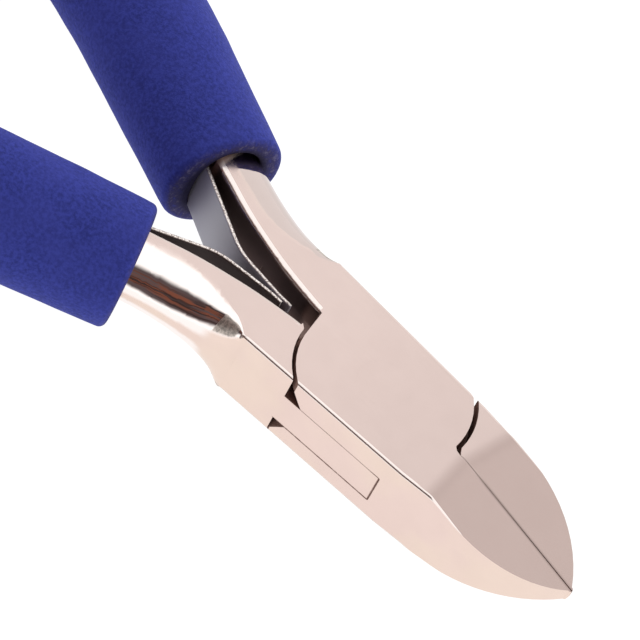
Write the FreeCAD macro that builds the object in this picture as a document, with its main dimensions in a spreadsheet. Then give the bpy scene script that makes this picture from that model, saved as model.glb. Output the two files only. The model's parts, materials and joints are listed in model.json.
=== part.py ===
"""Box-joint flush cutter: two forged halves on a pin, two leaf springs and two foam grips.

Frame, in millimetres: the pivot's axis is Z and the joint's lower ground face is z = 0. +X points to
the jaw tips and +Y to the slotted half's handle. The jaws are closed. The through half opens by turning
about +Z.
"""

import FreeCAD, Part
import math
import os
from FreeCAD import Placement, Rotation, Vector

DIMENSIONS = {
    # joint
    "thickness": 7.33,
    "half_width": 6.43,
    "side_taper": 0.0429,
    "shoulder_x": -11.15,
    "shoulder_inner_y": 2.2,
    "pin_radius": 2.5,
    "pin_clearance": 0.03,
    "slot_floor": 1.8,
    "slot_roof": 4.93,
    "slot_clearance": 0.03,
    "slot_radius": 8.5,
    "tongue_radius": 8.45,
    "tongue_root_radius": 7.05,
    "upper_cheek_radius": 8.05,
    "lower_cheek_radius": 8.3,
    "cheek_front_radius": 8.3,
    "cheek_corner": 0.3,
    "cheek_chamfer": 0.7,
    "cheek_chamfer_height": 1.25,
    "chamfer_sector_radius": 6.9,
    "shoulder_radius": 8.42,
    "jaw_heel_radius": 8.75,
    "edge_round": 0.3,
    # jaws
    "neck_x": 7.2,
    "jaw_x": 10.2,
    "jaw_half_width": 5.8,
    "jaw_root_x": 12.0,
    "jaw_bow_x": 13.3,
    "jaw_bow_radius": 12.53,
    "nose_x": 23.95,
    "nose_half_width": 0.3,
    "slotted_heel_x": 9.12,
    "through_heel_x": 9.2,
    "heel_gap": 0.04,
    "nose_gap": 0.14,
    "break_width": 0.24,
    "break_depth": 0.1,
    "break_end_x": 14.6,
    "break_size": 14.0,
    "crease_x": 9.7,
    "crease_at_side": 10.4,
    "crease_yaw": 6.9,
    "face_slope": 12.4,
    "grinder_size": 40.0,
    "relief_x": 10.6,
    "relief_land": 0.6,
    "relief_angle": 25.0,
    # tangs and handles
    "tang_width": 5.95,
    "tang_edge_round": 0.5,
    "runout_x": -15.8,
    "runout_y": 2.55,
    "runout_angle": 8.2,
    "runout_length": 7.7,
    "runout_width": 3.0,
    "handle_x": -23.6,
    "handle_y": 7.04,
    "handle_angle": 24.3,
    "handle_straight": 14.0,
    "handle_bow_radius": 107.0,
    "handle_bow_angle": 32.3,
    "core_radius": 3.6,
    "core_inset": 3.0,
    "core_flat": 1.65,
    "core_flat_length": 15.0,
    # foam grips
    "slotted_grip_start": 1.15,
    "slotted_grip_front_radius": 5.65,
    "slotted_grip_radius": 6.1,
    "through_grip_start": -0.6,
    "through_grip_front_radius": 5.93,
    "through_grip_radius": 6.35,
    "grip_bore_radius": 3.7,
    "grip_mouth_radius": 4.4,
    "grip_mouth_depth": 7.0,
    "grip_end_round": 0.8,
    # leaf springs and their rivets
    "leaf_thickness": 0.36,
    "leaf_width": 5.4,
    "leaf_bend_at": 7.0,
    "leaf_bend_radius": 9.0,
    "leaf_bow_x": -18.2,
    "leaf_bow_y": 0.87,
    "leaf_bow_radius": 8.0,
    "leaf_nose_x": -12.6,
    "leaf_nose_y": 0.21,
    "leaf_nose_radius": 22.0,
    "leaf_tip_x": -11.2,
    "rivet_at": 9.8,
    "rivet_radius": 0.9,
    "rivet_head_radius": 1.5,
    "rivet_head_height": 0.5,
    "rivet_depth": 3.0,
}

OUTSIDE = 30.0  # further out than the head and the jaws reach

# stations of the tang's section: X, Y of its flat inner side, width of its flat top and bottom, and
# Z of its bottom
TANG_STATIONS = (
    (-8.6, 1.18, 5.32, 0.00),
    (-10.6, 1.42, 5.15, 0.00),
    (-11.4, 1.55, 4.90, 0.00),
    (-12.5, 1.74, 4.00, 0.42),
    (-13.8, 2.00, 3.40, 0.76),
    (-15.4, 2.40, 2.35, 0.92),
    (-17.2, 2.90, 1.35, 1.00),
    (-19.3, 3.55, 0.85, 1.10),
    (-21.3, 4.30, 0.70, 1.15),
    (-23.5, 5.20, 0.70, 1.15),
    (-25.5, 6.10, 0.70, 1.15),
)

# corners of the box joint's irregular seam: the crotch, then the jaws' heel
CROTCH = ((-8.44, 1.13), (-8.29, 0.39))
CROTCH_Y = -1.24
SHOULDER_NOTCH = ((-8.75, -1.9), (-8.73, -1.2))
SHOULDER_Y = -1.6
SLOTTED_HEEL = (8.67, 0.08)
SLOTTED_HEEL_Y = 0.42
THROUGH_HEEL = (9.03, 0.22)
THROUGH_HEEL_Y = 0.72

doc = FreeCAD.newDocument("FlushCutter")
sheet = doc.addObject("Spreadsheet::Sheet", "Dimensions")


def fill_sheet():
    for row, (alias, value) in enumerate(DIMENSIONS.items(), 1):
        sheet.set(f"A{row}", alias)
        sheet.set(f"B{row}", str(value))
        sheet.setAlias(f"B{row}", alias)
    doc.recompute()


def dim(alias):
    """A driving dimension, read from the sheet."""
    return float(sheet.get(alias))


# ---- document objects


def bind(made, prop, expression):
    """Binds a property to an expression that writes each of the sheet's aliases as [alias]."""
    made.setExpression(prop, expression.replace("[", "Dimensions.").replace("]", ""))


def primitive(kind, name, placement=None, **sizes):
    """A Part object whose sizes are bound to the sheet."""
    made = doc.addObject(kind, name)
    for prop, expression in sizes.items():
        bind(made, prop, expression)
    if placement:
        made.Placement = placement
    return made


def plain(name, shape):
    """A Part::Feature that holds a shape worked out in code."""
    made = doc.addObject("Part::Feature", name)
    made.Shape = shape
    return made


def fuse(name, *shapes):
    made = doc.addObject("Part::MultiFuse", name)
    made.Shapes = list(shapes)
    made.Refine = True
    return made


def common(name, *shapes):
    made = doc.addObject("Part::MultiCommon", name)
    made.Shapes = list(shapes)
    return made


def cut(name, base, *tools):
    """The base with each tool cut from it in turn. The last cut has the name."""
    for left, tool in zip(range(len(tools) - 1, -1, -1), tools):
        made = doc.addObject("Part::Cut", f"{name}_less_{left}" if left else name)
        made.Base = base
        made.Tool = tool
        base = made
    return base


def mirrored(name, source, normal=Vector(0, 1, 0)):
    """The source's mirror image, by default in the plane y = 0."""
    made = doc.addObject("Part::Mirroring", name)
    made.Source = source
    made.Normal = normal
    return made


def rounded_edges(name, base, chosen, radius):
    """A fillet on the edges of the base that a test picks."""
    doc.recompute()
    picked = [(number, radius, radius) for number, edge in enumerate(base.Shape.Edges, 1) if chosen(edge)]
    made = doc.addObject("Part::Fillet", name)
    made.Base = base
    made.Edges = picked
    return made


def slab(name, curves, low, high):
    """A closed plan outline, extruded from one height to another."""
    sketch = doc.addObject("Sketcher::SketchObject", f"{name}_outline")
    sketch.addGeometry(curves, False)
    bind(sketch, "Placement.Base.z", low)
    made = primitive("Part::Extrusion", name, LengthFwd=f"({high}) - ({low})")
    made.Base = sketch
    made.DirMode = "Normal"
    made.Solid = True
    return made


def disc(name, radius, low, high):
    """A disc about the pivot, from one height to another."""
    made = primitive("Part::Cylinder", name, Radius=radius, Height=f"({high}) - ({low})")
    bind(made, "Placement.Base.z", low)
    return made


# ---- plan outlines


def side(x):
    """The head's half width at x."""
    return dim("half_width") - dim("side_taper") * x


def side_point(radius, towards):
    """Where a circle about the pivot meets the head's +Y side, towards +X or -X."""
    taper = dim("side_taper")
    half = dim("half_width")
    squares = 1 + taper**2
    root = math.sqrt((taper * half) ** 2 - squares * (half**2 - radius**2))
    x = (taper * half + towards * root) / squares
    return Vector(x, side(x), 0)


def circle_point(radius, y, towards):
    """The point of a circle about the pivot at one y, on its +X or -X half."""
    return Vector(towards * math.sqrt(radius**2 - y**2), y, 0)


def flipped(point):
    return Vector(point.x, -point.y, point.z)


def lines(*points):
    return [Part.LineSegment(a, b) for a, b in zip(points, points[1:])]


def arc_about(centre, start, end):
    """The shorter arc about a centre from start to end."""
    middle = (start - centre) + (end - centre)
    middle.Length = (start - centre).Length
    return Part.Arc(start, centre + middle, end)


def head_outline():
    """Plan of the head and the jaws' straight roots, as one blank."""
    shoulder = Vector(dim("shoulder_x"), side(dim("shoulder_x")), 0)
    neck = Vector(dim("neck_x"), side(dim("neck_x")), 0)
    jaw = Vector(dim("jaw_x"), dim("jaw_half_width"), 0)
    root = Vector(dim("jaw_root_x"), jaw.y, 0)
    upper = [shoulder, neck, jaw, root]
    return lines(*upper, *(flipped(corner) for corner in reversed(upper)), shoulder)


def jaws_outline():
    """Plan of both jaws in front of their roots: straight, then bowed to a blunt nose."""
    root = Vector(dim("jaw_root_x"), dim("jaw_half_width"), 0)
    bow_start = Vector(dim("jaw_bow_x"), root.y, 0)
    bow_centre = bow_start - Vector(0, dim("jaw_bow_radius"), 0)
    rise = dim("nose_half_width") - bow_centre.y
    reach = math.sqrt(dim("jaw_bow_radius") ** 2 - rise**2)
    bow_end = bow_centre + Vector(reach, rise, 0)
    upper = lines(flipped(root), root, bow_start) + [arc_about(bow_centre, bow_start, bow_end)]
    nose = Part.Arc(bow_end, Vector(dim("nose_x"), 0, 0), flipped(bow_end))
    lower = arc_about(flipped(bow_centre), flipped(bow_end), flipped(bow_start))
    return upper + [nose, lower] + lines(flipped(bow_start), flipped(root))


def outside(x, towards):
    """A point at x that is well outside the blank's side."""
    return Vector(x, towards * OUTSIDE, 0)


def points(*corners):
    return [Vector(x, y, 0) for x, y in corners]


def slotted_outline(rear_radius):
    """Plan of what the slotted half takes of the blank: shoulder, cheek and the -Y jaw."""
    rear_side = flipped(side_point(rear_radius, -1))
    crotch = circle_point(rear_radius, CROTCH_Y, -1)
    past_nose = Vector(OUTSIDE, -dim("nose_gap") / 2, 0)
    heel = Vector(dim("slotted_heel_x"), -dim("heel_gap") / 2, 0)
    front_heel = circle_point(dim("cheek_front_radius"), SLOTTED_HEEL_Y, 1)
    jaw = lines(rear_side, outside(rear_side.x, -1), outside(OUTSIDE, -1), past_nose, heel)
    hook = lines(heel, *points(SLOTTED_HEEL), front_heel)
    front_side = side_point(dim("cheek_front_radius"), 1)
    front_end = circle_point(dim("cheek_front_radius"), front_side.y - dim("cheek_corner"), 1)
    corner = Vector(front_side.x - dim("cheek_corner"), front_side.y, 0)
    shoulder_in = Vector(dim("shoulder_x"), dim("shoulder_inner_y"), 0)
    behind = outside(dim("shoulder_x"), 1)
    notch = [flipped(point) for point in points(*SHOULDER_NOTCH)]
    rear = [front_end, corner, outside(corner.x, 1), behind, shoulder_in, *notch, *points(*CROTCH), crotch]
    front_arc = arc_about(Vector(), front_heel, front_end)
    return jaw + hook + [front_arc] + lines(*rear) + [arc_about(Vector(), crotch, rear_side)]


def shoulder_outline(radius):
    """Plan of the through half's shoulder, outside a circle about the pivot."""
    start = circle_point(radius, SHOULDER_Y, -1)
    end = flipped(side_point(radius, -1))
    behind = outside(dim("shoulder_x"), -1)
    inner = Vector(dim("shoulder_x"), -dim("shoulder_inner_y"), 0)
    back = [end, outside(end.x, -1), behind, inner, *points(*SHOULDER_NOTCH), start]
    return [arc_about(Vector(), start, end)] + lines(*back)


def through_jaw_outline(radius):
    """Plan of the through half's jaw, outside a circle about the pivot."""
    heel = circle_point(radius, THROUGH_HEEL_Y, 1)
    turn = side_point(radius, 1)
    past_nose = Vector(OUTSIDE, dim("nose_gap") / 2, 0)
    jaw = lines(turn, outside(turn.x, 1), outside(OUTSIDE, 1), past_nose)
    inner = Vector(dim("through_heel_x"), dim("heel_gap") / 2, 0)
    hook = lines(past_nose, inner, *points(THROUGH_HEEL), heel)
    return [arc_about(Vector(), heel, turn)] + jaw + hook


def tongue_outline():
    """The band between the head's two sides, longer than the tongue."""
    reach = dim("tongue_radius") + 1
    ends = ((-reach, 1), (reach, 1), (reach, -1), (-reach, -1), (-reach, 1))
    return lines(*(Vector(x, across * side(x), 0) for x, across in ends))


# ---- jaws


def grinder(name, jaw_side, top):
    """A block that grinds one jaw's sloped top or bottom face. Its crease runs across at a small yaw."""
    size = "[grinder_size]"
    half = dim("grinder_size") / 2
    yaw = Rotation(Vector(0, 0, 1), -jaw_side * dim("crease_yaw"))
    pitch = Rotation(Vector(0, 1, 0), dim("face_slope") * (1 if top else -1))
    crease = Placement(Vector(dim("crease_x"), 0, dim("thickness") if top else 0), yaw * pitch)
    block_corner = Vector(0, -half, 0 if top else -2 * half)
    block = primitive(
        "Part::Box",
        f"{name}_block",
        crease * Placement(block_corner, Rotation()),
        Length=size,
        Width=size,
        Height=size,
    )
    own_half = primitive(
        "Part::Box",
        f"{name}_half",
        Placement(Vector(0, 0 if jaw_side > 0 else -2 * half, -2 * half), Rotation()),
        Length=f"2 * {size}",
        Width=size,
        Height=f"2 * {size}",
    )
    return common(name, block, own_half)


def relief(name):
    """The V between the jaws, which opens below the cutting edges."""
    slope = math.tan(math.radians(dim("face_slope")))
    roof = dim("thickness") - dim("relief_land") - slope * (dim("relief_x") - dim("crease_x"))
    depth = dim("thickness")
    half = depth * math.tan(math.radians(dim("relief_angle")))
    apex = Vector(dim("relief_x"), 0, roof)
    corners = [apex, apex + Vector(0, half, -depth), apex + Vector(0, -half, -depth), apex]
    length = dim("nose_x") + 1 - dim("relief_x")
    return plain(name, Part.Face(Part.makePolygon(corners)).extrude(Vector(length, 0, -slope * length)))


def edge_break():
    """The four flats that break the rims where the sloped faces begin."""
    width, depth = dim("break_width"), dim("break_depth")
    middle = Vector(dim("crease_at_side"), dim("jaw_half_width") - width / 2, dim("thickness") - depth / 2)
    drop = math.tan(math.radians(dim("face_slope"))) * (dim("break_end_x") - middle.x)
    bow = (dim("break_end_x") - dim("jaw_bow_x")) ** 2 / (2 * dim("jaw_bow_radius"))
    end = Vector(dim("break_end_x"), dim("jaw_half_width") - bow, dim("thickness") - drop)
    along = end - middle
    across = Vector(0, width, -depth)
    turn = Rotation(along, across, along.cross(across), "ZXY")
    size = dim("break_size")
    block = primitive(
        "Part::Box",
        "edge_break",
        Placement(middle, turn) * Placement(Vector(-size / 2, -size / 2, 0), Rotation()),
        Length="[break_size]",
        Width="[break_size]",
        Height="[break_size]",
    )
    under = mirrored("edge_break_under", block, Vector(0, 0, 1))
    bind(under, "Base.z", "[thickness] / 2")
    return [block, under, mirrored("edge_break_left", block), mirrored("edge_break_under_left", under)]


def on_rim(edge):
    """Whether an edge of the head's block runs level along one of its sides."""
    return edge.BoundBox.ZLength < 0.01 < 1 < edge.BoundBox.XLength


def head_blank():
    """The head and both jaws in one, with rounded rims, sloped faces and the V."""
    block = slab("head_block", head_outline(), "0", "[thickness]")
    head = rounded_edges("head_rounded", block, on_rim, dim("edge_round"))
    jaws = slab("jaws_block", jaws_outline(), "0", "[thickness]")
    grinders = [
        grinder(f"grinder_{jaw}_{face}", jaw_side, face == "top")
        for jaw, jaw_side in (("through", 1), ("slotted", -1))
        for face in ("top", "bottom")
    ]
    return cut("head_blank", fuse("head_and_jaws", head, jaws), *grinders, *edge_break(), relief("relief"))


# ---- handles: each is made on the +Y side


def handle_frame():
    """Placement of the handle: local +X runs back along it, and local +Y towards the other handle."""
    turn = Rotation(Vector(0, 0, 1), 180 - dim("handle_angle"))
    return Placement(Vector(dim("handle_x"), dim("handle_y"), dim("thickness") / 2), turn)


def along_handle(distance):
    """A placement on the straight part's axis, with local Z along it."""
    return handle_frame() * Placement(Vector(distance, 0, 0), Rotation(Vector(0, 1, 0), 90))


def on_flat(distance, height):
    """A placement at a height above the core's flat, with local Z out of the flat."""
    out = Rotation(Vector(1, 0, 0), -90)
    return handle_frame() * Placement(Vector(distance, dim("core_flat") + height, 0), out)


def rod(name, start, radius, front_radius):
    """A round rod along the handle: a straight part from a start, then the bow."""
    straight = primitive(
        "Part::Cone",
        f"{name}_straight",
        along_handle(start),
        Radius1=front_radius,
        Radius2=radius,
        Height=f"[handle_straight] - ({start})",
    )
    bow_start = Vector(dim("handle_straight"), dim("handle_bow_radius"), 0)
    bow = primitive(
        "Part::Torus",
        f"{name}_bow",
        handle_frame() * Placement(bow_start, Rotation(Vector(0, 0, 1), -90)),
        Radius1="[handle_bow_radius]",
        Radius2=radius,
        Angle3="[handle_bow_angle]",
    )
    return fuse(name, straight, bow)


def tang_section(x, inner, flat, bottom):
    """The tang's D section: a flat inner side, a flat top and bottom, and an elliptical back."""
    top = dim("thickness")
    half = (top - bottom) / 2
    back_y = side(x) if x > dim("shoulder_x") else inner + dim("tang_width")
    back = Part.Arc(Vector(0, 0, 1), Vector(0, 1, 0), Vector(0, 0, -1)).toShape()
    stretch = FreeCAD.Matrix()
    stretch.scale(1, back_y - inner - flat, half)
    stretch.move(Vector(x, inner + flat, bottom + half))
    low, high = Vector(x, inner, bottom), Vector(x, inner, top)
    across = Vector(0, flat, 0)
    rest = [Part.makeLine(low + across, low), Part.makeLine(low, high), Part.makeLine(high, high + across)]
    return Part.Wire([back.transformGeometry(stretch)] + rest)


def on_tang_inside(edge):
    """Whether an edge runs along the tang's flat inner side, at its top or bottom."""
    corners = [(x, inner) for x, inner, _, _ in (TANG_STATIONS[0], TANG_STATIONS[-1])]

    def is_corner(point):
        return any(abs(point.x - x) + abs(point.y - inner) < 0.01 for x, inner in corners)

    return edge.BoundBox.XLength > 1 and all(is_corner(vertex.Point) for vertex in edge.Vertexes)


def tang(name):
    """The tang from the shoulder into the grip, and the rod that carries the grip."""
    sections = [tang_section(*station) for station in TANG_STATIONS]
    blade = plain(f"{name}_blade", Part.makeLoft(sections, True))
    blade = rounded_edges(f"{name}_rounded", blade, on_tang_inside, dim("tang_edge_round"))
    core = rod(f"{name}_core", dim("core_inset"), "[core_radius]", "[core_radius]")
    flat = primitive(
        "Part::Box",
        f"{name}_flat",
        on_flat(0, 0) * Placement(Vector(0, -dim("core_radius"), 0), Rotation()),
        Length="[core_flat_length]",
        Width="2 * [core_radius]",
        Height="[core_radius]",
    )
    hole = primitive(
        "Part::Cylinder",
        f"{name}_rivet_hole",
        on_flat(dim("rivet_at"), -dim("rivet_depth")),
        Radius="[rivet_radius]",
        Height="[rivet_depth]",
    )
    return cut(name, fuse(f"{name}_whole", blade, core), flat, hole)


def grip(name):
    """A foam tube: its mouth is wide enough for the tang and the leaf."""
    start = dim(f"{name}_start")
    foam = rod(f"{name}_foam", start, f"[{name}_radius]", f"[{name}_front_radius]")
    bore = rod(f"{name}_bore", start - 1, "[grip_bore_radius]", "[grip_bore_radius]")
    mouth = primitive(
        "Part::Cylinder",
        f"{name}_mouth",
        along_handle(start - 1),
        Radius="[grip_mouth_radius]",
        Height="[grip_mouth_depth] + 1",
    )
    outside_lengths = [2 * math.pi * dim(f"{name}_{size}") for size in ("front_radius", "radius")]

    def on_end(edge):
        return edge.isClosed() and any(abs(edge.Length - length) < 0.01 for length in outside_lengths)

    tube = cut(f"{name}_tube", foam, bore, mouth)
    return rounded_edges(f"{name}_rounded", tube, on_end, dim("grip_end_round"))


def leaf_line():
    """The leaf's centre line in plan: along the flat, bent off it, bowed and then straight to its tip."""
    half = dim("leaf_thickness") / 2
    corners = [on_flat(at, half).Base for at in (dim("core_flat_length") - 1, dim("leaf_bend_at"))]
    corners.append(Vector(dim("leaf_bow_x"), dim("leaf_bow_y"), 0))
    corners.append(Vector(dim("leaf_nose_x"), dim("leaf_nose_y"), 0))
    corners.append(Vector(dim("leaf_tip_x"), dim("leaf_nose_y"), 0))
    radii = [dim("leaf_bend_radius"), dim("leaf_bow_radius"), dim("leaf_nose_radius")]
    return rounded([Vector(corner.x, corner.y, dim("thickness") / 2) for corner in corners], radii)


def rounded(corners, radii):
    """A wire of straight runs, with a tangent arc of its own radius at each inner corner."""
    start = corners[0]
    edges = []
    for before, corner, after, radius in zip(corners, corners[1:], corners[2:], radii):
        back = (before - corner).normalize()
        onward = (after - corner).normalize()
        half_turn = (math.pi - back.getAngle(onward)) / 2
        tangent = radius * math.tan(half_turn)
        crown = corner + (back + onward).normalize() * (radius / math.cos(half_turn) - radius)
        first, last = corner + back * tangent, corner + onward * tangent
        edges += [Part.makeLine(start, first), Part.Arc(first, crown, last).toShape()]
        start = last
    return Part.Wire(edges + [Part.makeLine(start, corners[-1])])


def leaf(name):
    """A spring leaf: its rectangular section, swept along its centre line."""
    line = leaf_line()
    start = on_flat(dim("core_flat_length") - 1, dim("leaf_thickness") / 2)
    across, up = dim("leaf_thickness") / 2, dim("leaf_width") / 2
    ends = ((up, -across), (up, across), (-up, across), (-up, -across), (up, -across))
    section = Part.Face(Part.makePolygon([start * Vector(0, y, z) for y, z in ends]))
    return plain(name, line.makePipe(section))


def rivet(name):
    """A rivet through the leaf into the core."""
    shank = primitive(
        "Part::Cylinder",
        f"{name}_shank",
        on_flat(dim("rivet_at"), -dim("rivet_depth")),
        Radius="[rivet_radius]",
        Height="[rivet_depth] + [leaf_thickness] + [rivet_head_height] / 2",
    )
    head = primitive(
        "Part::Cylinder",
        f"{name}_head",
        on_flat(dim("rivet_at"), dim("leaf_thickness")),
        Radius="[rivet_head_radius]",
        Height="[rivet_head_height]",
    )
    return fuse(name, shank, head)


def drilled_leaf(name):
    """The leaf with the hole for its rivet."""
    hole = primitive(
        "Part::Cylinder",
        f"{name}_hole",
        on_flat(dim("rivet_at"), -1),
        Radius="[rivet_radius]",
        Height="[leaf_thickness] + 2",
    )
    return cut(name, leaf(f"{name}_strip"), hole)


# ---- the two halves


def rear_chamfer(name, radius, low, below, above):
    """What a cheek loses at its rear corner by the slot: a ring outside a cone, near the other shoulder."""
    high = f"{low} + [cheek_chamfer_height]"
    ring = disc(f"{name}_disc", f"[{radius}] + [cheek_chamfer]", low, high)
    cone = primitive(
        "Part::Cone",
        f"{name}_cone",
        Radius1=f"[{radius}] - {below}",
        Radius2=f"[{radius}] - {above}",
        Height="[cheek_chamfer_height]",
    )
    bind(cone, "Placement.Base.z", low)
    sector = slab(f"{name}_sector", shoulder_outline(dim("chamfer_sector_radius")), low, high)
    return common(name, cut(f"{name}_turned", ring, cone), sector)


def runout():
    """The shallow pocket that the slot's cutter leaves in the slotted tang's inner side."""
    turn = Rotation(Vector(0, 0, 1), -dim("runout_angle"))
    start = Placement(Vector(dim("runout_x"), dim("runout_y"), dim("slot_floor")), turn)
    return primitive(
        "Part::Box",
        "runout",
        start * Placement(Vector(0, -dim("runout_width"), 0), Rotation()),
        Length="[runout_length]",
        Width="[runout_width]",
        Height="[slot_roof] - [slot_floor]",
    )


def slotted_half(blank):
    middle = "[thickness] / 2"
    plans = [
        slab("slotted_lower_plan", slotted_outline(dim("lower_cheek_radius")), "0", middle),
        slab("slotted_upper_plan", slotted_outline(dim("upper_cheek_radius")), middle, "[thickness]"),
    ]
    shares = [common(f"{plan.Name}_share", blank, plan) for plan in plans]
    chamfer, none = "[cheek_chamfer]", "0"
    below_slot = "[slot_floor] - [cheek_chamfer_height]"
    return cut(
        "slotted_half",
        fuse("slotted_whole", *shares, tang("slotted_tang")),
        disc("slot", "[slot_radius]", "[slot_floor]", "[slot_roof]"),
        disc("slotted_bore", "[pin_radius]", "-1", "[thickness] + 1"),
        rear_chamfer("upper_chamfer", "upper_cheek_radius", "[slot_roof]", chamfer, none),
        rear_chamfer("lower_chamfer", "lower_cheek_radius", below_slot, none, chamfer),
        runout(),
    )


def tongue(low, high):
    """The through half's middle: a disc as wide as the head, joined to the shoulder and to the jaw."""
    sides = slab("tongue_sides", tongue_outline(), low, high)
    middle = common("tongue_middle", disc("tongue_disc", "[tongue_radius]", low, high), sides)
    rear = slab("tongue_rear", shoulder_outline(dim("tongue_root_radius")), low, high)
    front = slab("tongue_front", through_jaw_outline(dim("tongue_root_radius")), low, high)
    reach = disc("tongue_reach", "[jaw_heel_radius] + 1", low, high)
    necks = [common(f"{neck.Name}_neck", neck, sides, reach) for neck in (rear, front)]
    return [middle, *necks]


def through_half(blank):
    shoulder = slab("through_shoulder", shoulder_outline(dim("shoulder_radius")), "0", "[thickness]")
    jaw = slab("through_jaw_plan", through_jaw_outline(dim("jaw_heel_radius")), "0", "[thickness]")
    shares = [common("through_shoulder_share", blank, shoulder), common("through_jaw_share", blank, jaw)]
    middle = tongue("[slot_floor] + [slot_clearance]", "[slot_roof] - [slot_clearance]")
    whole = fuse("through_whole", *shares, *middle, mirrored("through_handle", tang("through_tang")))
    bore = disc("through_bore", "[pin_radius] + [pin_clearance]", "-1", "[thickness] + 1")
    return cut("through_half", whole, bore)


def labelled(label, made):
    made.Label = label
    return made


def checked(parts):
    """The document's objects are up to date and each part is one valid solid."""
    doc.recompute()
    failed = [made.Name for made in doc.Objects if {"Invalid", "Error"} & set(made.State)]
    for part in parts:
        if part.Shape.isNull() or not part.Shape.isValid() or len(part.Shape.Solids) != 1:
            failed.append(part.Label)
    if failed:
        raise RuntimeError(f"failed: {failed}")
    return parts


def main():
    fill_sheet()
    blank = head_blank()
    parts = [slotted_half(blank), through_half(blank)]
    parts.append(disc("joint_pin", "[pin_radius]", "0", "[thickness]"))
    parts.append(labelled("slotted_grip", grip("slotted_grip")))
    parts.append(mirrored("through_grip", grip("through_grip")))
    for name, made in (("leaf_spring", drilled_leaf("leaf")), ("spring_rivet", rivet("rivet"))):
        parts += [labelled(f"slotted_{name}", made), mirrored(f"through_{name}", made)]
    os.makedirs("parts", exist_ok=True)
    for part in checked(parts):
        part.Shape.exportStep(f"parts/{part.Label}.step")
        print(part.Label, round(part.Shape.Volume, 1), "mm3")


main()
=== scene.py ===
"""Looks of the box-joint flush cutter, in metres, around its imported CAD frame."""

import json
import math
from types import SimpleNamespace

import bmesh
import bpy
from mathutils import Matrix, Vector, noise

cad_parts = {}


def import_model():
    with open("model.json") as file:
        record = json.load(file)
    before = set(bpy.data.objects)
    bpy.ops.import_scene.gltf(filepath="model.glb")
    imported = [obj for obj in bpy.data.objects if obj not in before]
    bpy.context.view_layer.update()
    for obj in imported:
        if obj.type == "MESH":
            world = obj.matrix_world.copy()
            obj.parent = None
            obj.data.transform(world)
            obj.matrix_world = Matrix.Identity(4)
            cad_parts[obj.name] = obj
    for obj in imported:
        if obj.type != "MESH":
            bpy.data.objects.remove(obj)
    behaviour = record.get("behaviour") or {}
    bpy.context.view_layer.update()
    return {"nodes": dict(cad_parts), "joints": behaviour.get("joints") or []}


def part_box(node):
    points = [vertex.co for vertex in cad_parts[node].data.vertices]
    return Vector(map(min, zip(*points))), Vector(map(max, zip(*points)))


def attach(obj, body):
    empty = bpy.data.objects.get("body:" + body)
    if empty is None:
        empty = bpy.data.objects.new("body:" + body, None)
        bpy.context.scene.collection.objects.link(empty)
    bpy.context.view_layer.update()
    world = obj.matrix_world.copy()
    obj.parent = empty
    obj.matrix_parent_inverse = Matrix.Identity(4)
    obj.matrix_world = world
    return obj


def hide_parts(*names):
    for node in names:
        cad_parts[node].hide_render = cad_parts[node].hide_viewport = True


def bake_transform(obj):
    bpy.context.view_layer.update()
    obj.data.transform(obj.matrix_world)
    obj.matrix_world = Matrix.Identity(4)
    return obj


MM = 0.001

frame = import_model()
scene = bpy.context.scene
scene.view_settings.view_transform = "Standard"

MID_Z = frame["joints"][0]["pos_m"][2]
REST_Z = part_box("through_grip")[0].z
SLOTTED, THROUGH = 1, -1  # the side of the tool that each half's handle is on
BODIES = {SLOTTED: "slotted_side", THROUGH: "through_side"}

# the handles' line, as in the frame: a straight part, then a bow towards the other handle
HANDLE_X, HANDLE_Y = -23.6 * MM, 7.04 * MM
HANDLE_ANGLE = math.radians(24.3)
HANDLE_STRAIGHT = 14.0 * MM
BOW_RADIUS = 107.0 * MM
BOW_ANGLE = math.radians(32.3)
HANDLE_LENGTH = HANDLE_STRAIGHT + BOW_RADIUS * BOW_ANGLE
CORE_FLAT = 1.65 * MM


# ---- node helpers: places and sizes inside a material are in millimetres


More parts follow.
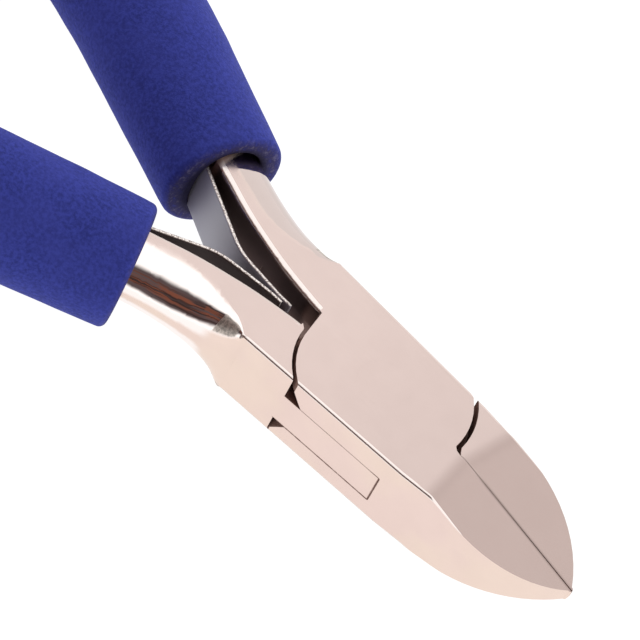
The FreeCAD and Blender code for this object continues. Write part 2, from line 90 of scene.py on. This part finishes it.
class Nodes:
    """Short names for making and linking the nodes of one tree."""

    def __init__(self, tree):
        self.tree = tree

    def plug(self, socket, value):
        if isinstance(value, bpy.types.NodeSocket):
            self.tree.links.new(value, socket)
        elif isinstance(value, tuple) and len(value) == 3 and len(socket.default_value) == 4:
            socket.default_value = (*value, 1.0)
        else:
            socket.default_value = value

    def node(self, kind, properties=None, **values):
        made = self.tree.nodes.new(f"ShaderNode{kind}")
        for key, value in (properties or {}).items():
            setattr(made, key, value)
        for key, value in values.items():
            self.plug(made.inputs[key.replace("_", " ")], value)
        return made

    def math(self, operation, *values):
        made = self.node("Math", {"operation": operation})
        for socket, value in zip(made.inputs, values):
            self.plug(socket, value)
        return made.outputs[0]

    def product(self, first, *others):
        for other in others:
            first = self.math("MULTIPLY", first, other)
        return first

    def largest(self, first, *others):
        for other in others:
            first = self.math("MAXIMUM", first, other)
        return first

    def rest_of(self, share):
        return self.math("SUBTRACT", 1.0, share)

    def step(self, value, start, end):
        """0 before start and 1 after end, smooth between them. start may be above end."""
        low, high = (0.0, 1.0) if start < end else (1.0, 0.0)
        bounds = {"From_Min": min(start, end), "From_Max": max(start, end), "To_Min": low, "To_Max": high}
        made = self.node("MapRange", {"interpolation_type": "SMOOTHSTEP"}, Value=value, **bounds)
        return made.outputs["Result"]

    def window(self, value, rise_start, rise_end, fall_start, fall_end):
        return self.product(self.step(value, rise_start, rise_end), self.step(value, fall_end, fall_start))

    def near(self, value, landmark, *bounds):
        """A window whose four bounds are measured from a landmark."""
        return self.window(value, *(landmark + bound for bound in bounds))

    def mix(self, share, a, b):
        """a at share 0, b at share 1: numbers, or colours where either is one."""
        coloured = any(isinstance(end, tuple) or getattr(end, "type", "") == "RGBA" for end in (a, b))
        kind, first, output = ("RGBA", 6, 2) if coloured else ("FLOAT", 2, 0)
        made = self.node("Mix", {"data_type": kind})
        for index, value in ((0, share), (first, a), (first + 1, b)):
            self.plug(made.inputs[index], value)
        return made.outputs[output]

    def noise(self, place, size, detail=2.0, roughness=0.5, stretch=(1, 1, 1), turn=0.0):
        """Noise whose features are about size across, longer along the axes that stretch names."""
        scale = tuple(1 / (size * along) for along in stretch)
        vector = self.node("Mapping", Vector=place, Rotation=(0, 0, turn), Scale=scale).outputs["Vector"]
        made = self.node("TexNoise", Vector=vector, Scale=1.0, Detail=detail, Roughness=roughness)
        return made.outputs["Fac"]

    def split(self, vector):
        return self.node("SeparateXYZ", Vector=vector).outputs


class Paint(Nodes):
    """A material under construction. Places are in millimetres and normals are units, in the frame."""

    def __init__(self, name, **settings):
        self.material = bpy.data.materials.new(name)
        self.material.use_nodes = True
        super().__init__(self.material.node_tree)
        self.surface = self.tree.nodes["Principled BSDF"]
        coordinates = self.node("TexCoord").outputs
        scaled = self.node("VectorMath", {"operation": "SCALE"}, Vector=coordinates["Object"], Scale=1 / MM)
        self.place = scaled.outputs[0]
        self.x, self.y, self.z = self.split(self.place)
        self.nx, self.ny, self.nz = self.split(coordinates["Normal"])
        self.set(**settings)

    def set(self, **values):
        for key, value in values.items():
            self.plug(self.surface.inputs[key.replace("_", " ")], value)

    def bump(self, height, distance, strength=1.0, onto=None):
        made = self.node("Bump", Height=height, Distance=distance, Strength=strength)
        if onto:
            self.plug(made.inputs["Normal"], onto)
        return made.outputs["Normal"]


# ---- materials

# landmarks on the two halves, in millimetres, as in the frame
SHOULDER_X = -11.15  # the head's rear end
GAP_RADII = (6.9, 9.35)  # the box joint's gaps, measured from the pivot
SLOT_FLOOR, SLOT_ROOF = 1.80, 4.93  # heights of the slot that the tongue passes through
TONGUE_END = 5.8  # x where the tongue ends on the head's side
SIDE_Y = 5.4  # the head's sides lie beyond this
JAW_X = 8.5  # the jaws begin
CREASE_X = (9.4, 9.7)  # x at the middle where the slope begins, on the slotted and the through half's jaw
CREASE_SWEEP = 0.121  # how fast the crease moves forward towards the sides
CROTCH_X = -8.0  # the wall between the tangs
MOUTH_X = -24.5  # the handles are inside the grips behind this

FLAT_TINT = (0.620, 0.497, 0.460)
SLOPE_TINT = (0.478, 0.372, 0.340)
SIDE_TINT = (0.81, 0.65, 0.565)
SIDE_BLUSH = (0.79, 0.62, 0.565)
POLISH_TINT = (0.95, 0.87, 0.84)
DARKER_POLISH_TINT = (0.58, 0.485, 0.455)
RIM_TINT = (0.86, 0.77, 0.73)
SHADED_RIM_TINT = (0.64, 0.54, 0.50)
GAP_SHADE = (0.24, 0.14, 0.115)
INSIDE_SHADE = (0.13, 0.075, 0.065)
CREASE_SHADE = (0.12, 0.08, 0.07)
SEAM_SHADE = (0.16, 0.11, 0.10)
CLOUD_SHADE = (0.2, 0.12, 0.1)
MATT_TINTS = ((0.24, 0.21, 0.18), (0.62, 0.55, 0.49))
CROTCH_SHADE_TINTS = ((0.45, 0.35, 0.28), (0.90, 0.76, 0.66))
FLAT_SHADES = (1.05, 0.97)  # the flat's brightness at the shoulders and at the jaws

RIM_TURN = 1.6  # 1 is a true round; more keeps the rim near the flat's normal for longer


def normal_of_rims(m, rim, upright):
    """The normal of rims that turn slowly away from the flat and then quickly down to the side."""
    tilt = m.math("DIVIDE", m.math("ARCCOSINE", upright), math.pi / 2)
    slower = m.math("MULTIPLY", m.math("POWER", tilt, RIM_TURN), math.pi / 2)
    level = m.math("SQRT", m.math("ADD", m.product(m.nx, m.nx), m.product(m.ny, m.ny)))
    share = m.math("DIVIDE", m.math("SINE", slower), m.math("MAXIMUM", level, 0.001))
    up = m.product(m.math("COSINE", slower), m.math("SIGN", m.nz))
    turned = m.node("CombineXYZ", X=m.product(m.nx, share), Y=m.product(m.ny, share), Z=up)
    own = m.node("CombineXYZ", X=m.nx, Y=m.ny, Z=m.nz)
    mixed = m.node("Mix", {"data_type": "VECTOR"})
    m.plug(mixed.inputs[0], rim)
    m.plug(mixed.inputs[4], own.outputs[0])
    m.plug(mixed.inputs[5], turned.outputs[0])
    settings = {"vector_type": "NORMAL", "convert_from": "OBJECT", "convert_to": "WORLD"}
    return m.node("VectorTransform", settings, Vector=mixed.outputs[1]).outputs[0]


def tongue_seam_shade(m, side):
    """Painted shade along the seams on the sides where the tongue meets the slot, broken up by their burrs.
    """
    burr = m.step(m.noise(m.place, 0.8, 3.0, 0.6), 0.30, 0.62)
    span = m.window(m.x, -5.4, -5.0, TONGUE_END - 0.05, TONGUE_END + 0.05)
    tall = m.window(m.z, SLOT_FLOOR, SLOT_FLOOR + 0.04, SLOT_ROOF - 0.05, SLOT_ROOF)
    low = m.product(m.near(m.z, SLOT_FLOOR, -0.09, -0.02, 0.05, 0.12), span, m.mix(burr, 0.35, 0.95))
    darker_ahead = m.mix(m.step(m.x, 4.6, 5.2), 0.3, 0.8)
    high = m.product(m.near(m.z, SLOT_ROOF, -0.08, -0.04, 0.02, 0.07), span, darker_ahead)
    end = m.product(m.near(m.x, TONGUE_END, -0.14, -0.07, 0.04, 0.12), tall, m.mix(burr, 0.6, 0.95))
    return m.product(side, m.largest(low, high, end))


def steel_zones(m):
    """Masks of the halves' surfaces, told apart by normal and place."""
    upright = m.math("ABSOLUTE", m.nz)
    facing_x = m.math("ABSOLUTE", m.nx)
    across = m.math("ABSOLUTE", m.y)
    inward = m.product(m.ny, m.math("SIGN", m.y), -1.0)
    outward = m.step(inward, 0.0, -0.1)
    wall = m.step(upright, 0.5, 0.3)
    radius = m.math("SQRT", m.math("ADD", m.product(m.x, m.x), m.product(m.y, m.y)))
    on_head = m.step(m.x, SHOULDER_X - 0.15, SHOULDER_X)
    on_jaws = m.step(m.x, JAW_X, JAW_X + 0.8)
    behind = m.step(m.x, SHOULDER_X + 3.0, SHOULDER_X + 2.4)
    flat = m.largest(m.step(upright, 0.988, 0.998), m.product(on_jaws, m.step(upright, 0.955, 0.97)))
    # the walls of the joint's gaps, and the jaws' heels, which get painted shade
    ring = m.window(radius, GAP_RADII[0], GAP_RADII[0] + 0.1, GAP_RADII[1] - 0.1, GAP_RADII[1])
    gap = m.product(ring, m.step(facing_x, 0.2, 0.3), m.step(upright, 0.9, 0.8))
    at_heel = m.window(m.x, JAW_X - 0.2, JAW_X, GAP_RADII[1] - 0.1, GAP_RADII[1])
    heel = m.product(at_heel, m.step(across, 1.0, 0.8), wall)
    # the wall between the tangs gets painted speckled shade
    near_crotch = m.product(m.step(m.x, CROTCH_X, CROTCH_X - 0.2), m.step(across, 3.0, 2.6))
    crotch = m.product(near_crotch, m.step(facing_x, 0.3, 0.5), wall)
    on_side = m.product(m.step(upright, 0.2, 0.08), m.step(across, SIDE_Y - 0.4, SIDE_Y))
    rounded = m.window(upright, 0.04, 0.12, 0.985, 0.995)
    slot_height = m.window(m.z, SLOT_FLOOR - 0.10, SLOT_FLOOR - 0.02, SLOT_ROOF + 0.02, SLOT_ROOF + 0.12)
    # the jaws' slopes begin softly, with faint painted shade along the crease
    crease = m.math("ADD", m.product(across, CREASE_SWEEP), m.mix(m.step(m.y, -0.1, 0.1), *CREASE_X))
    ahead = m.math("SUBTRACT", m.x, crease)
    # the slope up to the shoulder behind the head was left matt
    matt_x = m.window(m.x, -13.6, -13.45, -11.7, -11.45)
    lower_x = m.window(m.x, -14.4, -13.2, -10.6, -10.4)
    lower = m.product(lower_x, m.step(m.nz, 0.46, 0.32), outward)
    return SimpleNamespace(
        upright=upright,
        behind=behind,
        flat=flat,
        side=m.product(on_side, m.step(facing_x, 0.5, 0.3)),
        # painted shade on the tangs' faces that face each other
        inside=m.product(behind, m.step(inward, 0.55, 0.85), wall),
        rim=m.product(rounded, m.largest(on_head, m.step(inward, 0.0, 0.05))),
        gap=m.product(m.largest(gap, heel), m.rest_of(crotch)),
        # painted shade on the slot's floor and roof
        in_slot=m.product(slot_height, m.step(upright, 0.90, 0.95), m.step(radius, 8.9, 8.6)),
        crotch=crotch,
        # painted shade on the handles where they go into the grips
        mouth=m.window(m.x, -40.0, -38.0, MOUTH_X - 0.7, MOUTH_X),
        slope=m.step(ahead, -0.55, 0.75),
        crease_shade=m.product(m.window(ahead, -0.9, 0.0, 0.1, 1.5), 0.10),
        # painted shade along the seam between the jaws
        seam=m.product(m.step(ahead, 1.3, 3.2), m.step(across, 0.30, 0.08), m.step(m.nz, 0.9, 0.95)),
        matt=m.product(matt_x, m.window(m.nz, 0.38, 0.44, 0.87, 0.93), outward),
        polished=m.product(m.step(upright, 0.08, 0.25), m.rest_of(flat), m.rest_of(lower)),
    )


def steel_tint(m, zones, cloud):
    """The colour of the bare steel in each zone, with painted shade inside the tangs, in the crotch, along
    the crease, along the jaws' seam and on rims facing +y, before the painted shade of the joint's gaps.
    """
    blush = m.noise(m.place, 6.0, 2.0, 0.5, turn=0.7)
    speckle = m.noise(m.place, 0.22, 3.0, 0.7)
    rear, front = (tuple(shade * part for part in FLAT_TINT) for shade in FLAT_SHADES)
    level_tint = m.mix(m.step(m.x, -11.0, 10.0), rear, front)
    # painted shade along the crease, then along the seam between the jaws
    flat_tint = m.mix(zones.crease_shade, m.mix(zones.slope, level_tint, SLOPE_TINT), CREASE_SHADE)
    flat_tint = m.mix(m.product(zones.seam, 0.36), flat_tint, SEAM_SHADE)
    side_tint = m.mix(m.step(blush, 0.35, 0.65), SIDE_TINT, SIDE_BLUSH)
    # one half's back is darker, and rims shine less than the backs
    darker_back = m.product(zones.behind, m.step(m.y, 0.0, 0.5))
    shine = m.mix(zones.rim, m.mix(darker_back, POLISH_TINT, DARKER_POLISH_TINT), RIM_TINT)
    # rims facing +y get painted shade
    shine = m.mix(m.product(zones.rim, m.step(m.ny, 0.05, 0.2)), shine, SHADED_RIM_TINT)
    tint = m.mix(zones.polished, m.mix(zones.flat, side_tint, flat_tint), shine)
    tint = m.mix(m.product(m.step(cloud, 0.35, 0.7), 0.03), tint, CLOUD_SHADE)
    matt_share = m.product(zones.matt, m.mix(speckle, 0.75, 1.0))
    tint = m.mix(matt_share, tint, m.mix(m.step(speckle, 0.35, 0.6), *MATT_TINTS))
    # painted shade inside the tangs and in the crotch
    tint = m.mix(m.product(zones.inside, 0.93), tint, INSIDE_SHADE)
    return m.mix(m.product(zones.crotch, 0.95), tint, m.mix(speckle, *CROTCH_SHADE_TINTS))


def forged_steel():
    """Satin ground flats, softer sides and polished round backs, with painted shade in the joint's gaps,
    the slot, the seams round the tongue and on the handles inside the grips.
    """
    m = Paint("forged_steel")
    zones = steel_zones(m)
    cloud = m.noise(m.place, 3.4, 3.0, 0.55)
    lines = m.noise(m.place, 0.10, 3.0, 0.65, stretch=(28, 1, 1), turn=math.radians(-38))
    gaps = m.product(zones.gap, 0.97)
    # painted shade: the seams round the tongue, the joint's gaps, the handles in the grips' mouths and the
    # slot
    painted_shade = m.largest(tongue_seam_shade(m, zones.side), gaps, m.product(zones.mouth, 0.9), zones.in_slot)
    roughness = m.mix(zones.flat, m.mix(cloud, 0.13, 0.2), m.mix(m.step(lines, 0.35, 0.65), 0.22, 0.27))
    roughness = m.mix(zones.polished, roughness, m.mix(zones.rim, 0.045, 0.26))
    roughness = m.mix(m.largest(zones.matt, zones.crotch), roughness, 0.42)
    onto = normal_of_rims(m, zones.rim, zones.upright)
    m.set(
        Base_Color=m.mix(painted_shade, steel_tint(m, zones, cloud), GAP_SHADE),
        Metallic=m.rest_of(m.largest(painted_shade, m.product(zones.crotch, 0.7))),
        Specular_IOR_Level=0.0,
        Roughness=m.mix(painted_shade, m.mix(zones.inside, roughness, 0.28), 0.8),
        Normal=m.bump(m.mix(zones.flat, cloud, lines), 0.0025 * MM, 0.5, onto=onto),
    )
    return m.material


def spring_steel():
    """Dull rolled faces with painted shade on one leaf and a painted lit patch on the other, set by a mesh
    attribute. The sheared edges are brighter and speckled.
    """
    m = Paint("spring_steel")
    edge = m.step(m.math("ABSOLUTE", m.nz), 0.5, 0.8)
    cloud = m.noise(m.place, 1.8, 3.0, 0.55)
    speckle = m.noise(m.place, 0.16, 4.0, 0.7)
    tone = m.node("Attribute", {"attribute_name": "tone"}).outputs["Fac"]
    face = m.mix(cloud, (0.26, 0.245, 0.30), (0.36, 0.34, 0.40))
    # painted shade on the through leaf's face, and a painted lit patch on the slotted leaf's
    face = m.mix(m.step(tone, 0.0, 0.5), (0.13, 0.10, 0.095), face)
    face = m.mix(m.step(tone, 0.5, 1.0), face, (0.46, 0.455, 0.50))
    sheared = m.mix(m.step(speckle, 0.38, 0.54), (0.25, 0.19, 0.17), (0.97, 0.90, 0.85))
    m.set(Base_Color=m.mix(edge, face, sheared), Metallic=m.mix(edge, 0.2, 1.0), Specular_IOR_Level=0.5)
    m.set(Roughness=m.mix(edge, 0.5, m.mix(speckle, 0.25, 0.55)))
    m.set(Normal=m.bump(speckle, 0.02 * MM, m.mix(edge, 0.0, 0.8)))
    return m.material


def rivet_steel():
    m = Paint("rivet_steel", Metallic=1.0)
    cloud = m.noise(m.place, 0.5, 3.0, 0.6)
    m.set(Base_Color=m.mix(cloud, (0.42, 0.39, 0.38), (0.62, 0.57, 0.55)))
    m.set(Roughness=m.mix(cloud, 0.25, 0.45))
    m.set(Normal=m.bump(cloud, 0.01 * MM, 0.5))
    return m.material


def foam():
    """Closed-cell foam with a fine mottled skin. Its cut ends are dusty and duller, and inside the mouth it
    is painted near black as shade.
    """
    m = Paint("blue_foam", Roughness=0.8, Specular_IOR_Level=0.12)
    m.set(Sheen_Weight=0.03, Sheen_Roughness=0.5)
    cells = m.noise(m.place, 0.34, 3.0, 0.65)
    grain = m.noise(m.place, 0.13, 2.0, 0.6)
    cloud = m.noise(m.place, 5.0, 2.0, 0.5)
    skin = m.mix(m.step(cells, 0.32, 0.68), (0.027, 0.036, 0.225), (0.046, 0.061, 0.375))
    skin = m.mix(m.product(m.step(cloud, 0.35, 0.7), 0.35), skin, (0.052, 0.064, 0.36))
    cut = m.node("Attribute", {"attribute_name": "cut_end_and_shade"}).outputs["Fac"]
    dust = m.noise(m.place, 0.5, 4.0, 0.7)
    bare = m.mix(m.step(dust, 0.48, 0.70), (0.034, 0.030, 0.12), (0.12, 0.11, 0.22))
    outer = m.mix(m.product(m.math("MINIMUM", cut, 1.0), m.step(dust, 0.2, 0.5)), skin, bare)
    # painted shade, near black, inside the mouth and on the end face near it
    m.set(Base_Color=m.mix(m.step(cut, 0.95, 1.6), outer, (0.016, 0.013, 0.05)))
    height = m.math("ADD", m.product(cells, 0.7), m.product(grain, 0.3))
    m.set(Normal=m.bump(height, 0.11 * MM, 0.75))
    return m.material


def paint(node, material):
    made = frame["nodes"][node]
    made.data.materials.clear()
    made.data.materials.append(material)


STEEL = forged_steel()
SPRING = spring_steel()
RIVET = rivet_steel()
FOAM = foam()
for node in ("slotted_half", "through_half", "joint_pin"):
    paint(node, STEEL)
for node in ("slotted_spring_rivet", "through_spring_rivet"):
    paint(node, RIVET)


# ---- pieces built here: the foam grips and the leaf springs


def handle_place(side, distance, inward=0.0, up=0.0):
    """A point near the handle's line: a distance along it, inward towards the other handle, and up."""
    along = Vector((-math.cos(HANDLE_ANGLE), side * math.sin(HANDLE_ANGLE), 0))
    across = Vector((-math.sin(HANDLE_ANGLE), -side * math.cos(HANDLE_ANGLE), 0))
    turn = max(0.0, distance - HANDLE_STRAIGHT) / BOW_RADIUS
    reach = min(distance, HANDLE_STRAIGHT) + (BOW_RADIUS - inward) * math.sin(turn)
    offset = BOW_RADIUS - (BOW_RADIUS - inward) * math.cos(turn)
    origin = Vector((HANDLE_X, side * HANDLE_Y, MID_Z))
    return origin + along * reach + across * offset + Vector((0, 0, up))


def mesh_piece(name, bm, material):
    bmesh.ops.recalc_face_normals(bm, faces=bm.faces)
    mesh = bpy.data.meshes.new(name)
    bm.to_mesh(mesh)
    bm.free()
    mesh.shade_smooth()
    mesh.materials.append(material)
    made = bpy.data.objects.new(name, mesh)
    scene.collection.objects.link(made)
    return made


def skin_rings(bm, rings, closed):
    """Quads between each ring of vertices and the next, and from the last to the first if closed."""
    pairs = list(zip(rings, rings[1:])) + ([(rings[-1], rings[0])] if closed else [])
    for ring, after in pairs:
        for i in range(len(ring)):
            j = (i + 1) % len(ring)
            bm.faces.new((ring[i], ring[j], after[j], after[i]))


GRIP_SEGMENTS = 72
GRIP_STEP = 0.9 * MM
GRIP_END_ROUND = 0.7 * MM
END_STEPS = 7
BORE_RADIUS = 3.72 * MM
MOUTH_RADIUS = 4.1 * MM
MOUTH_LIP = 0.25 * MM
MOUTH_DEPTH = 8.0 * MM
MOUTH_PINCH = 1.35 * MM  # how far the mouth closes on the leaf
BACK_PINCH = 0.2  # and on the handle's back, as a share of that
WALL_RADIUS = 5.0 * MM  # the mouth's pinch fades out towards this radius, and the skin's unevenness begins
PINCH_FADE = 0.9 * MM
SKIN_FADE = 0.4 * MM
SHADED_IN_HOLE = 2.0  # the cut-end value inside the mouth, which brings painted shade. It is about 1 on the cut faces and in the bore, and 0 on the skin


def clamp(value):
    return max(0.0, min(1.0, value))


def grip_profile(start, front_radius, radius):
    """Distance, radius and cut-end value round the wall: out of the mouth, along the skin, in by the bore.
    Values above 1 bring painted shade.
    """
    end = HANDLE_LENGTH
    turns = [math.pi / 2 * i / END_STEPS for i in range(END_STEPS + 1)]
    profile = [
        (start + MOUTH_LIP * (1 - math.sin(t)), MOUTH_RADIUS + MOUTH_LIP * (1 - math.cos(t)), SHADED_IN_HOLE)
        for t in turns
    ]
    corner, rear = front_radius - GRIP_END_ROUND, radius - GRIP_END_ROUND
    # the end face darkens towards the mouth with painted shade
    for share in (0.35, 0.7):
        profile.append((start, MOUTH_RADIUS + share * (corner - MOUTH_RADIUS), 1.8 - share))
    for i, t in enumerate(turns):
        cut = max(0.0, 1 - 1.3 * i / END_STEPS)
        distance = start + GRIP_END_ROUND * (1 - math.cos(t))
        profile.append((distance, corner + GRIP_END_ROUND * math.sin(t), cut))
    length = end - start - 2 * GRIP_END_ROUND
    steps = round(length / GRIP_STEP)
    for i in range(1, steps):
        distance = start + GRIP_END_ROUND + length * i / steps
        share = min(1.0, (distance - start) / (HANDLE_STRAIGHT - start))
        profile.append((distance, front_radius + (radius - front_radius) * share, 0.0))
    for i, t in enumerate(turns):
        cut = max(0.0, 1.3 * i / END_STEPS - 0.3)
        distance = end - GRIP_END_ROUND * (1 - math.sin(t))
        profile.append((distance, rear + GRIP_END_ROUND * math.cos(t), cut))
    profile += [(end, BORE_RADIUS + share * (rear - BORE_RADIUS), 1.0) for share in (0.6, 0.2, 0.0)]
    profile += [(end + (start + MOUTH_DEPTH - end) * i / steps, BORE_RADIUS, 1.0) for i in range(1, steps)]
    for i in range(1, END_STEPS):
        share = i / END_STEPS
        distance = start + MOUTH_DEPTH * (1 - share)
        profile.append((distance, BORE_RADIUS + share * (MOUTH_RADIUS - BORE_RADIUS), SHADED_IN_HOLE))
    return profile


def grip(side, start, front_radius, radius, outward):
    """A foam tube, slightly uneven by hand, slid on over the handle and a little off its line."""
    name = f"{'slotted' if side == SLOTTED else 'through'}_foam_grip"
    bm = bmesh.new()
    cut_end_and_shade = bm.verts.layers.float.new("cut_end_and_shade")
    rings = []
    for distance, size, cut in grip_profile(start, front_radius, radius):
        skin = clamp((size - WALL_RADIUS) / SKIN_FADE)
        pinch = MOUTH_PINCH * clamp((WALL_RADIUS - size) / PINCH_FADE)
        pinch *= max(0.0, 1 - max(0.0, distance - start) / (MOUTH_DEPTH / 2))
        ring = []
        for i in range(GRIP_SEGMENTS):
            turn = 2 * math.pi * i / GRIP_SEGMENTS
            at = handle_place(side, distance, size * math.cos(turn), size * math.sin(turn))
            # long swells and short dimples, in millimetres
            wave = noise.noise(at * 90 + Vector((side, 0, 0))) * 0.10 + noise.noise(at * 420) * 0.035
            squeeze = 1.0 if math.cos(turn) > 0 else BACK_PINCH
            uneven = size + skin * wave * MM - pinch * squeeze * math.cos(turn) ** 2
            inward = uneven * math.cos(turn) - outward * skin
            vertex = bm.verts.new(handle_place(side, distance, inward, uneven * math.sin(turn)))
            vertex[cut_end_and_shade] = cut
            ring.append(vertex)
        rings.append(ring)
    skin_rings(bm, rings, closed=True)
    made = mesh_piece(name, bm, FOAM)
    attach(made, BODIES[side])
    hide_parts(name.replace("_foam", ""))


LEAF_THICKNESS = 0.36 * MM
LEAF_WIDTH = 5.4 * MM
LEAF_EDGE = 0.09 * MM
LEAF_REAR = 14.0 * MM
LEAF_BEND_AT = 7.0 * MM
LEAF_STEP = 0.35 * MM
LEAF_BENDS = (9 * MM, 7 * MM, 12 * MM)  # radii where it leaves the core, bows and turns to its tip
LEAF_RAG = 0.03 * MM
LEAF_ROWS = (0.9, 0.6, 0.3, 0.0, -0.3, -0.6, -0.9)  # heights across a face, as shares of the half width
# painted light level: 0 is painted shade on the through leaf's face, 0.5 the plain face and 1 a painted lit
# patch on the slotted leaf. The patch's place is in millimetres
PAINTED_SHADE_TONE, PLAIN_TONE = 0.1, 0.5
LIT_PATCH_X, LIT_PATCH_REACH = -22.0, 4.5


def rounded_path(corners, radii, step):
    """Points along straight runs with a tangent arc at each inner corner."""
    start, path = corners[0], [corners[0]]

    def run(a, b):
        count = max(1, round((b - a).length / step))
        path.extend(a.lerp(b, i / count) for i in range(1, count + 1))

    for before, corner, after, radius in zip(corners, corners[1:], corners[2:], radii):
        back, onward = (before - corner).normalized(), (after - corner).normalized()
        half_turn = (math.pi - back.angle(onward)) / 2
        tangent = radius * math.tan(half_turn)
        first, last = corner + back * tangent, corner + onward * tangent
        run(start, first)
        middle = corner + (back + onward).normalized() * radius / math.cos(half_turn)
        count = max(2, round(2 * half_turn * radius / step))
        for i in range(1, count + 1):
            arm = (first - middle).slerp(last - middle, i / count)
            path.append(middle + arm * radius)
        start = last
    run(start, corners[-1])
    return path


def leaf(side, bow, nose, tip):
    """A spring leaf: flat on the handle's core, bent off it, bowed, and straight to its tip."""
    prefix = "slotted" if side == SLOTTED else "through"
    half = LEAF_THICKNESS / 2
    corners = [handle_place(side, at, CORE_FLAT + half) for at in (LEAF_REAR, LEAF_BEND_AT)]
    corners += [Vector((x * MM, side * y * MM, MID_Z)) for x, y in (bow, nose, tip)]
    path = rounded_path(corners, LEAF_BENDS, LEAF_STEP)
    up = LEAF_WIDTH / 2
    section = []
    for across, height in ((half, up), (-half, up), (-half, -up), (half, -up)):
        inset_across, inset_up = math.copysign(LEAF_EDGE, across), math.copysign(LEAF_EDGE, height)
        cut = [(across, height - inset_up), (across - inset_across, height)]
        section += cut if across * height > 0 else cut[::-1]
    outline = section[1:4] + [(-half, up * row) for row in LEAF_ROWS] + section[4:]
    outline += [(half, up * row) for row in reversed(LEAF_ROWS)] + section[:1]
    bm = bmesh.new()
    tone = bm.verts.layers.float.new("tone")
    rings = []
    for i, at in enumerate(path):
        lit_patch = (1 - PLAIN_TONE) * max(0.0, 1 - abs(at.x / MM - LIT_PATCH_X) / LIT_PATCH_REACH)
        ahead = (path[min(i + 1, len(path) - 1)] - path[max(i - 1, 0)]).normalized()
        out = Vector((0, 0, 1)).cross(ahead)
        ring = []
        for across, height in outline:
            on_edge = abs(height) > 0.97 * up
            rag = LEAF_RAG * noise.noise((at + Vector((0, 0, height))) * 1600) if on_edge else 0.0
            vertex = bm.verts.new(at + out * across + Vector((0, 0, height + rag)))
            # the slotted leaf gets a painted lit patch, the through leaf painted shade
            vertex[tone] = PLAIN_TONE + lit_patch if side == SLOTTED else PAINTED_SHADE_TONE
            ring.append(vertex)
        rings.append(ring)
    skin_rings(bm, rings, closed=False)
    for ring in (rings[0], rings[-1]):
        bm.faces.new(ring)
    made = mesh_piece(f"{prefix}_leaf", bm, SPRING)
    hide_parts(f"{prefix}_leaf_spring")
    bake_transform(made)


grip(SLOTTED, 1.15 * MM, 5.75 * MM, 6.1 * MM, 0.24 * MM)
grip(THROUGH, -0.6 * MM, 5.88 * MM, 6.26 * MM, 0.0)
leaf(SLOTTED, (-17.6, 0.84), (-12.4, 0.22), (-10.9, 0.20))
leaf(THROUGH, (-18.7, 0.90), (-13.0, 0.22), (-11.7, 0.22))


# ---- stage


FLOOR_HALF, FLOOR_SEGMENTS = 3.0, 12
WHITE_LIGHT = (1.22, 1.22, 1.22)
CAMERA_PLACE = Vector((102.0, -334.6, 388.9)) * MM
CAMERA_TARGET = Vector((-8.04, 0.38, 7.33)) * MM
CAMERA_ROLL = math.radians(29.35)
CAMERA_LENS = 337.5


def floor():
    """A white table top that glows, so that it stays white behind the tool."""
    bm = bmesh.new()
    bmesh.ops.create_grid(bm, x_segments=FLOOR_SEGMENTS, y_segments=FLOOR_SEGMENTS, size=FLOOR_HALF)
    bmesh.ops.translate(bm, verts=bm.verts, vec=(0, 0, REST_Z - 0.02 * MM))
    m = Paint("floor_white", Base_Color=(0.12, 0.12, 0.12, 1), Roughness=0.9, Specular_IOR_Level=0.1)
    m.set(Emission_Color=(1, 1, 1, 1), Emission_Strength=1.0)
    mesh_piece("floor", bm, m.material)


def world():
    """White all round, with the dim warm shape of whoever holds the camera, high up in front."""
    made = bpy.data.worlds.new("studio")
    scene.world = made
    made.use_nodes = True
    w = Nodes(made.node_tree)
    direction = w.node("TexCoord").outputs["Generated"]
    _, y, z = w.split(direction)
    person = w.product(w.step(y, -0.12, -0.34), w.step(z, 0.10, 0.34))
    streak = w.noise(direction, 0.16, 3.0, 0.6, stretch=(1.6, 1, 0.6))
    haze = w.noise(direction, 0.30, 2.0, 0.5, stretch=(2.2, 1, 0.4))
    band = w.product(w.window(z, 0.42, 0.6, 0.84, 0.93), w.step(streak, 0.44, 0.60))
    warm = w.mix(w.step(haze, 0.40, 0.62), (0.045, 0.028, 0.026), (0.105, 0.078, 0.080))
    warm = w.mix(band, warm, (0.20, 0.072, 0.045))
    colour = w.mix(person, WHITE_LIGHT, warm)
    colour = w.mix(w.step(z, 0.0, -0.02), colour, (1.0, 1.0, 1.0))
    w.plug(made.node_tree.nodes["Background"].inputs["Color"], colour)


def camera():
    """Low azimuth, 47 degrees up, long lens, rolled."""
    data = bpy.data.cameras.new("camera")
    data.lens = CAMERA_LENS
    data.clip_start, data.clip_end = 0.01, 50
    made = bpy.data.objects.new("camera", data)
    scene.collection.objects.link(made)
    look = (CAMERA_TARGET - CAMERA_PLACE).to_track_quat("-Z", "Y").to_matrix().to_4x4()
    roll = Matrix.Rotation(CAMERA_ROLL, 4, "Z")
    made.matrix_world = Matrix.Translation(CAMERA_PLACE) @ look @ roll
    scene.camera = made


floor()
world()
camera()
